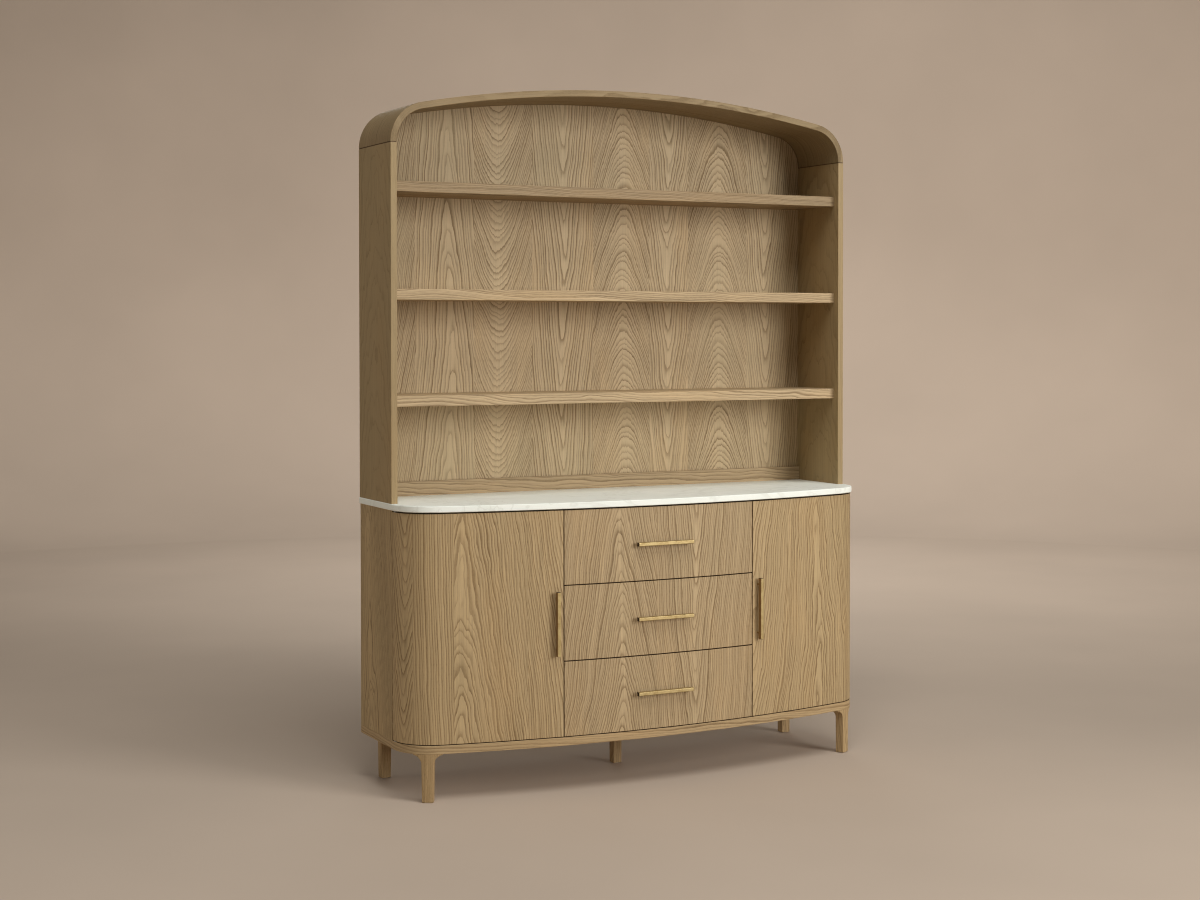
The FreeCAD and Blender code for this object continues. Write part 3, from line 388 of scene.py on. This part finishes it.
# ---------------------------------------------------------------- the materials
#    start    Centre  Rate   Depth  Pitch   Phase Sway Tone
BACK = [
    (-0.900, -0.860, -34.0, 0.050, 0.0080, 0.11, 0.55, 0.04),
    (-0.665, -0.540, 9.0, 0.012, 0.0118, 0.37, 0.50, 0.05, 1.64, -1.2),
    (-0.455, -0.362, -46.0, 0.055, 0.0076, 0.62, 0.42, -0.02),
    (-0.245, -0.123, -11.0, 0.008, 0.0112, 0.23, 0.40, -0.03),
    (-0.010, 0.115, 45.0, 0.045, 0.0076, 0.81, 0.45, 0.00),
    (0.205, 0.285, -14.0, 0.010, 0.0108, 0.47, 0.50, -0.02, 1.74, 1.0),
    (0.362, 0.488, 43.0, 0.055, 0.0076, 0.93, 0.42, 0.00),
    (0.600, 0.686, -13.0, 0.010, 0.0106, 0.05, 0.45, 0.03),
]
FRONT = [
    (-1.300, -1.130, 13.0, 0.014, 0.0115, 0.31, 0.70, 0.06, 0.36, 1.6),
    (-0.930, -0.866, -20.0, 0.008, 0.0118, 0.15, 0.40, 0.04),
    (-0.835, -1.130, 3.0, 0.050, 0.0158, 0.74, 0.35, 0.03),
    (-0.706, -0.670, 17.0, 0.009, 0.0114, 0.56, 0.75, 0.00, 0.57, 2.2),
    (-0.470, -0.300, -16.0, 0.040, 0.0102, 0.88, 0.40, -0.02),
    (-0.347, -0.150, 26.0, 0.009, 0.0088, 0.42, 0.50, 0.00),
    (-0.030, 0.110, -14.0, 0.006, 0.0090, 0.68, 0.55, -0.02),
    (0.347, 0.352, -14.0, 0.012, 0.0114, 0.27, 0.60, 0.00),
    (0.500, 0.640, 9.0, 0.008, 0.0114, 0.95, 0.80, 0.00, 0.80, -1.8),
    (0.800, 0.872, -12.0, 0.010, 0.0112, 0.51, 0.60, 0.02),
    (0.930, 1.100, 12.0, 0.015, 0.0114, 0.08, 0.60, 0.05),
]
M = {}
M["back"] = oak_material("oak_back_panel", straight("x", "z", "y", dw=-0.23875), rows=BACK, low=-0.9, high=0.9,
                         light=srgb(197, 174, 137), dark=srgb(114, 88, 53), contrast=0.84, grain=0.36)
# the doors and drawer fronts get painted shade on their edges, standing for the dark gaps around them
M["door"] = oak_material("oak_doors", wrapped(FRONT_WRAP, ("along", "z", "under")), rows=FRONT, low=-1.3, high=1.1,
                         light=srgb(185, 160, 120), dark=srgb(112, 84, 48), contrast=0.80, grain=0.60, gap_shade_or_glue_line=front_gap_shade(0.020))
M["front"] = oak_material("oak_drawer_fronts", wrapped(FRONT_WRAP, ("along", "z", "under")), rows=FRONT, low=-1.3, high=1.1,
                          light=srgb(186, 162, 125), dark=srgb(110, 84, 50), contrast=0.80, grain=0.60, gap_shade_or_glue_line=front_gap_shade(0.080))
M["side"] = oak_material("oak_side_panels", wrapped(FRONT_WRAP, ("along", "z", "under")), rows=FRONT, low=-1.3, high=1.1,
                         light=srgb(184, 159, 118), dark=srgb(104, 80, 50), contrast=0.78, grain=0.45)
M["hutch_side"] = oak_material("oak_hutch_sides", straight("y", "z", "x"), leaf=(0.11, 9.0, 0.03, 0.0105, 0.33, 0.6, 0.0),
                               light=srgb(162, 140, 102), dark=srgb(108, 87, 56), contrast=0.50, grain=0.34, gap_shade_or_glue_line=joint_line)
M["crown"] = oak_material("oak_crown", wrapped(CROWN_WRAP, ("y", "along", "under")), leaf=(0.20, 2.2, 0.02, 0.0105, 0.57, 0.5, 0.0),
                          light=srgb(148, 127, 93), dark=srgb(101, 80, 52), contrast=0.44, grain=0.42, gap_shade_or_glue_line=joint_line)
SHELF_LEAF = (0.95, 5.0, 0.05, 0.0160, 0.19, 0.6, -0.05)
M["shelf"] = oak_material("oak_shelves", straight("z", "x", "y"), leaf=SHELF_LEAF,
                          light=srgb(194, 170, 133), dark=srgb(114, 90, 58), contrast=0.75, grain=0.62)
M["shelf_upper"] = oak_material("oak_upper_shelf", straight("z", "x", "y"), leaf=SHELF_LEAF[:4] + (0.74,) + SHELF_LEAF[5:],
                                light=srgb(166, 143, 110), dark=srgb(104, 84, 54), contrast=0.8, grain=0.60)
M["rail"] = oak_material("oak_back_rail", straight("z", "x", "y"), leaf=(0.78, 3.0, 0.02, 0.0125, 0.71, 0.5, -0.04),
                         light=srgb(178, 154, 118), dark=srgb(112, 90, 60), contrast=0.8, grain=0.55)
M["plinth"] = oak_material("oak_bottom_board", wrapped(FRONT_WRAP, ("z", "along", "under")), leaf=(0.02, 4.0, 0.03, 0.0120, 0.44, 0.5, -0.03),
                           light=srgb(182, 156, 117), dark=srgb(116, 90, 56), contrast=0.7, grain=0.50, gap_shade_or_glue_line=board_edges)
M["leg"] = oak_material("oak_legs", straight("x", "z", "y"), leaf=(0.5, 12.0, 0.05, 0.0120, 0.77, 0.6, -0.04),
                        light=srgb(186, 158, 116), dark=srgb(120, 94, 58), contrast=0.65, grain=0.45)
# the inner parts get painted shade on their front faces, which show only through the gaps
M["inner"] = oak_material("oak_inside", straight("y", "z", "x"), leaf=(0.02, 9.0, 0.02, 0.0090, 0.29, 0.6, 0.0), contrast=0.6,
                          gap_shade_facing=(0, -1, 0))
M["inner_flat"] = oak_material("oak_inside_flat", straight("y", "x", "z"), leaf=(0.02, 9.0, 0.02, 0.0090, 0.63, 0.6, 0.0), contrast=0.6,
                               gap_shade_facing=(0, -1, 0))
M["rear"] = oak_material("oak_rear_panel", straight("x", "z", "y"), rows=BACK, low=-0.9, high=0.9, contrast=0.6)
PALE, PALE_DARK = srgb(206, 184, 146), srgb(172, 144, 104)
M["box_side"] = oak_material("drawer_sides", straight("z", "y", "x"), leaf=(0.3, 5.0, 0.06, 0.0080, 0.36, 0.5, -0.1), light=PALE, dark=PALE_DARK, contrast=0.5)
M["box_end"] = oak_material("drawer_ends", straight("z", "x", "y"), leaf=(0.3, 5.0, 0.06, 0.0080, 0.52, 0.5, -0.1), light=PALE, dark=PALE_DARK, contrast=0.5)
M["box_base"] = oak_material("drawer_bases", straight("x", "y", "z"), leaf=(0.05, 6.0, 0.03, 0.0100, 0.82, 0.5, -0.1), light=PALE, dark=PALE_DARK, contrast=0.5)
M["dowel"] = oak_material("beech_dowels", straight("z", "x", "y"), leaf=(0.5, 5.0, 0.1, 0.0030, 0.52, 0.3, -0.1), light=PALE, dark=PALE_DARK, contrast=0.4)


def stone_material():
    """Honed white engineered stone: fine clouding, sparse grey flecks and faint soft veins."""
    m, n, bsdf = new_material("white_stone")
    p = n.object_point()
    cloud = n.noise(p, 5.0, 3.0, 0.6, 0.6)
    fine = n.noise(p, 260.0, 2.0, 0.6)
    speck = n.span(n.noise(p, 900.0, 0.0), 0.66, 0.74, smooth=True)
    vein = n.noise(p, 2.2, 4.0, 0.62, 1.4)
    vein = n.math("ABSOLUTE", n.math("SUBTRACT", vein, 0.5))
    vein = n.span(vein, 0.0, 0.022, 1.0, 0.0, smooth=True)
    colour = n.mix(n.span(cloud, 0.35, 0.68), srgb(247, 250, 242), srgb(240, 244, 235))
    colour = n.mix(n.times(vein, 0.28), colour, srgb(208, 208, 197))
    colour = n.mix(n.times(n.span(fine, 0.4, 0.62), 0.20), colour, srgb(247, 250, 243))
    colour = n.mix(n.times(speck, 0.14), colour, srgb(188, 187, 176))
    n.put(bsdf.inputs["Base Color"], colour)
    n.put(bsdf.inputs["Roughness"], n.plus(n.times(fine, 0.14), n.plus(n.times(cloud, 0.10), 0.36)))
    bsdf.inputs["Specular IOR Level"].default_value = 0.15
    bump(n, bsdf, n.plus(fine, n.times(speck, -0.6)), 0.00006, 0.35)
    return m


def brass_material(name, axis, middle, shaded_ends_from):
    """Satin lacquered brass, brushed along the bar, with faint handling marks. The flanks, the sides of an upright bar
    and the underside of a level one, are painted darker and less metallic as painted shade and painted reflection of
    dim surroundings, and the end faces are painted near black, also as painted shade and reflection. The bars lie along
    the axis, and their end faces begin the last argument's distance either side of the middle."""
    m, n, bsdf = new_material(name)
    p = n.object_point()
    xyz = n.split(p)
    at = "xyz".index(axis)
    brush = n.noise(n.xyz(*[n.times(c, 60.0 if k == at else 2400.0) for k, c in enumerate(xyz)]), 1.0, 2.0)
    tarnish = n.noise(p, 55.0, 3.0, 0.6)
    colour = n.mix(n.span(tarnish, 0.40, 0.68), srgb(186, 166, 120), srgb(164, 140, 94))
    colour = n.mix(n.times(n.span(brush, 0.35, 0.65), 0.25), colour, srgb(202, 184, 140))
    normal = n.split(n.add("ShaderNodeTexCoord").outputs["Normal"])
    # painted shade and reflection: the sideways faces of upright bars and the undersides of level bars get a darker,
    # less metallic brass
    painted_flank_shade = n.math("ABSOLUTE", normal[0]) if axis == "z" else n.times(normal[2], -1.0)
    painted_flank_shade = n.times(n.span(painted_flank_shade, 0.70, 0.95), n.plus(n.times(n.span(tarnish, 0.3, 0.6), 0.2), 0.8))
    colour = n.mix(painted_flank_shade, colour, srgb(142, 110, 66))
    # painted shade and reflection: the end faces of the bars get a near-black, less metallic colour
    painted_end_shade = n.span(n.math("ABSOLUTE", n.math("SUBTRACT", xyz[at], middle)), shaded_ends_from - 0.0005, shaded_ends_from)
    colour = n.mix(painted_end_shade, colour, srgb(52, 38, 26))
    n.put(bsdf.inputs["Base Color"], colour)
    n.put(bsdf.inputs["Metallic"], n.times(n.span(painted_end_shade, 0.0, 1.0, 1.0, 0.35), n.span(painted_flank_shade, 0.0, 1.0, 1.0, 0.35)))
    n.put(bsdf.inputs["Roughness"], n.plus(n.times(brush, 0.14), n.plus(n.times(tarnish, 0.12), 0.40)))
    bump(n, bsdf, brush, 0.00004, 0.30)
    return m


def steel_material():
    """Zinc-plated steel: spangled grey with rolling lines."""
    m, n, bsdf = new_material("zinc_steel")
    p = n.object_point()
    x, y, z = n.split(p)
    roll = n.noise(n.xyz(n.times(x, 900.0), n.times(y, 18.0), n.times(z, 900.0)), 1.0, 2.0)
    patch = n.noise(p, 120.0, 2.0, 0.6)
    colour = n.mix(n.span(patch, 0.35, 0.66), srgb(176, 178, 182), srgb(148, 150, 154))
    n.put(bsdf.inputs["Base Color"], colour)
    bsdf.inputs["Metallic"].default_value = 1.0
    n.put(bsdf.inputs["Roughness"], n.plus(n.times(roll, 0.20), n.plus(n.times(patch, 0.16), 0.18)))
    bump(n, bsdf, roll, 0.00004, 0.3)
    return m


def plastic_material(name, base, other, rough):
    """Moulded plastic: fine spark-eroded texture and slight flow marks."""
    m, n, bsdf = new_material(name)
    p = n.object_point()
    fine = n.noise(p, 1500.0, 1.0)
    flow = n.noise(p, 60.0, 3.0, 0.6, 0.8)
    n.put(bsdf.inputs["Base Color"], n.mix(n.span(flow, 0.35, 0.66), base, other))
    n.put(bsdf.inputs["Roughness"], n.plus(n.times(fine, 0.18), n.plus(n.times(flow, 0.08), rough)))
    bump(n, bsdf, fine, 0.00005, 0.35)
    return m


M["stone"] = stone_material()
M["brass"] = brass_material("brushed_brass_drawer_pulls", "x", 0.0, 0.1006)
M["brass_upright"] = brass_material("brushed_brass_door_pulls", "z", 0.5348, 0.1006)
M["steel"] = steel_material()
M["nylon"] = plastic_material("natural_nylon", srgb(222, 216, 202), srgb(208, 200, 184), 0.42)
M["black"] = plastic_material("black_catch_plastic", srgb(34, 34, 35), srgb(44, 43, 42), 0.40)

WEAR = {
    "hutch_back_panel": "back", "base_back_panel": "rear",
    "door_left": "door", "door_right": "door",
    "side_panel_left": "side", "side_panel_right": "side",
    "hutch_side_left": "hutch_side", "hutch_side_right": "hutch_side", "hutch_crown": "crown",
    "hutch_shelf_upper": "shelf_upper", "hutch_shelf_middle": "shelf", "hutch_shelf_lower": "shelf",
    "hutch_back_rail": "rail", "bottom_board": "plinth",
    "front_leg_left": "leg", "front_leg_right": "leg", "back_leg_left": "leg", "back_leg_right": "leg", "centre_leg": "leg",
    "partition_left": "inner", "partition_right": "inner", "sub_top": "inner_flat",
    "inner_shelf_left": "inner_flat", "inner_shelf_right": "inner_flat",
    "stone_top": "stone", "foot_glides": "nylon", "leg_bolts": "steel", "joining_plates": "steel", "wood_screws": "steel",
    "door_pivots": "steel", "slide_cabinet_members": "steel", "shelf_pins": "steel", "door_catches": "black",
    "case_dowels": "dowel", "hutch_dowels": "dowel",
    "door_pull_left": "brass_upright", "door_pull_right": "brass_upright",
    "door_bushes_left": "nylon", "door_bushes_right": "nylon",
    "catch_strike_left": "steel", "catch_strike_right": "steel",
}
for level in ("lower", "middle", "upper"):
    WEAR.update({
        f"drawer_{level}_front": "front", f"drawer_{level}_sides": "box_side", f"drawer_{level}_ends": "box_end",
        f"drawer_{level}_bottom": "box_base", f"drawer_{level}_pull": "brass", f"drawer_{level}_runners": "steel",
    })
for name, o in NODES.items():
    o.data.materials.clear()
    o.data.materials.append(M[WEAR[name]])


# ------------------------------------------------------------- floor and backdrop
def bowl(name, profile, steps, flat):
    """A surface of revolution about Z."""
    verts, faces = [(0.0, 0.0, profile[0][1])], []
    for r, z in profile:
        for k in range(steps):
            a = 2 * math.pi * k / steps
            verts.append((r * math.cos(a), r * math.sin(a), z))
    if flat:
        for k in range(steps):
            faces.append((0, 1 + k, 1 + (k + 1) % steps))
    for ring in range(len(profile) - 1):
        for k in range(steps):
            a, b = 1 + ring * steps + k, 1 + ring * steps + (k + 1) % steps
            faces.append((a, a + steps, b + steps, b))
    if not flat:
        verts, faces = verts[1:], [tuple(v - 1 for v in f) for f in faces]
    me = bpy.data.meshes.new(name)
    me.from_pydata(verts, [], faces)
    me.update()
    for p in me.polygons:
        p.use_smooth = True
    o = bpy.data.objects.new(name, me)
    bpy.context.scene.collection.objects.link(o)
    return o


def paper_material(name, near, far):
    """Studio paper: near under the object, far at the backdrop."""
    m, n, bsdf = new_material(name)
    p = n.object_point()
    x, y, z = n.split(p)
    away = n.math("SQRT", n.plus(n.times(x, x), n.times(y, y)))
    soft = n.noise(p, 0.7, 3.0, 0.55)
    tone = n.mix(n.span(away, 1.2, 8.2, smooth=True), near, far)
    # a little darker in soft clouds and up the backdrop
    n.put(bsdf.inputs["Base Color"], n.mix(n.plus(n.span(soft, 0.3, 0.7, 0.0, 0.07), n.span(z, 1.0, 4.4, 0.0, 0.20)), tone, (0.0, 0.0, 0.0, 1.0)))
    bsdf.inputs["Roughness"].default_value = 0.9
    bsdf.inputs["Specular IOR Level"].default_value = 0.1
    return m


floor = bowl("studio_floor", [(0.8, 0.0), (2.5, 0.0), (7.4, 0.0)], 96, True)
cove = [(7.4 + 2.4 * math.sin(t), 2.4 - 2.4 * math.cos(t)) for t in (math.pi / 2 * k / 16 for k in range(17))]
wall = bowl("studio_backdrop", cove + [(9.8, 9.0)], 96, False)
PAPER = paper_material("studio_paper", srgb(198, 181, 164), srgb(228, 207, 187))
for o in (floor, wall):
    o.data.materials.append(PAPER)
wall.visible_shadow = False
wall.visible_diffuse = False


# ------------------------------------------------------------------- light, camera
def area(name, place, aim, size, power, colour, spread=180.0):
    """A softbox. spread is how wide its light fans out in degrees, as a grid in front of it limits it."""
    d = bpy.data.lights.new(name, "AREA")
    d.shape = "RECTANGLE"
    d.size, d.size_y = size
    d.energy = power
    d.color = colour
    d.spread = math.radians(spread)
    o = bpy.data.objects.new(name, d)
    bpy.context.scene.collection.objects.link(o)
    o.location = place
    o.visible_camera = False
    direction = Vector(aim) - Vector(place)
    o.rotation_mode = "QUATERNION"
    o.rotation_quaternion = direction.to_track_quat("-Z", "Y")


NEUTRAL = (1.0, 0.995, 0.975)
area("key_light", (3.0, -5.8, 2.62), (0.0, 0.0, 1.15), (2.7, 3.5), 74.0, NEUTRAL, 90.0)
area("top_light", (-0.8, -3.2, 6.75), (0.0, -0.1, 1.0), (3.8, 3.8), 216.0, NEUTRAL)
area("left_light", (-8.9, 2.3, 2.3), (-0.84, 0.0, 1.1), (3.9, 3.9), 19.0, (1.0, 0.90, 0.78), 90.0)
area("rear_light", (3.2, 8.2, 4.2), (0.0, 0.2, 1.2), (4.0, 4.0), 26.0, NEUTRAL, 90.0)
area("backdrop_light", (2.5, 2.0, 6.0), (5.5, 7.0, 1.0), (3.0, 3.0), 125.0, NEUTRAL, 130.0)
world = bpy.data.worlds.new("studio_world")
bpy.context.scene.world = world
world.use_nodes = True
back = world.node_tree.nodes.get("Background")
back.inputs[0].default_value = (1.0, 0.95, 0.88, 1.0)
back.inputs[1].default_value = 0.19

cam_data = bpy.data.cameras.new("camera")
cam_data.sensor_width = 36.0
cam_data.lens = 57.4925
cam_data.shift_y = -0.07
cam_data.clip_start, cam_data.clip_end = 0.05, 100.0
cam = bpy.data.objects.new("camera", cam_data)
bpy.context.scene.collection.objects.link(cam)
cam.location = (-2.99248, -5.59303, 1.45125)
cam.rotation_euler = (math.radians(88.9497), math.radians(0.0317), math.radians(-27.3055))
bpy.context.scene.camera = cam
bpy.context.scene.cycles.filter_width = 1.1
view = bpy.context.scene.view_settings
view.view_transform = "Standard"
view.look = "None"
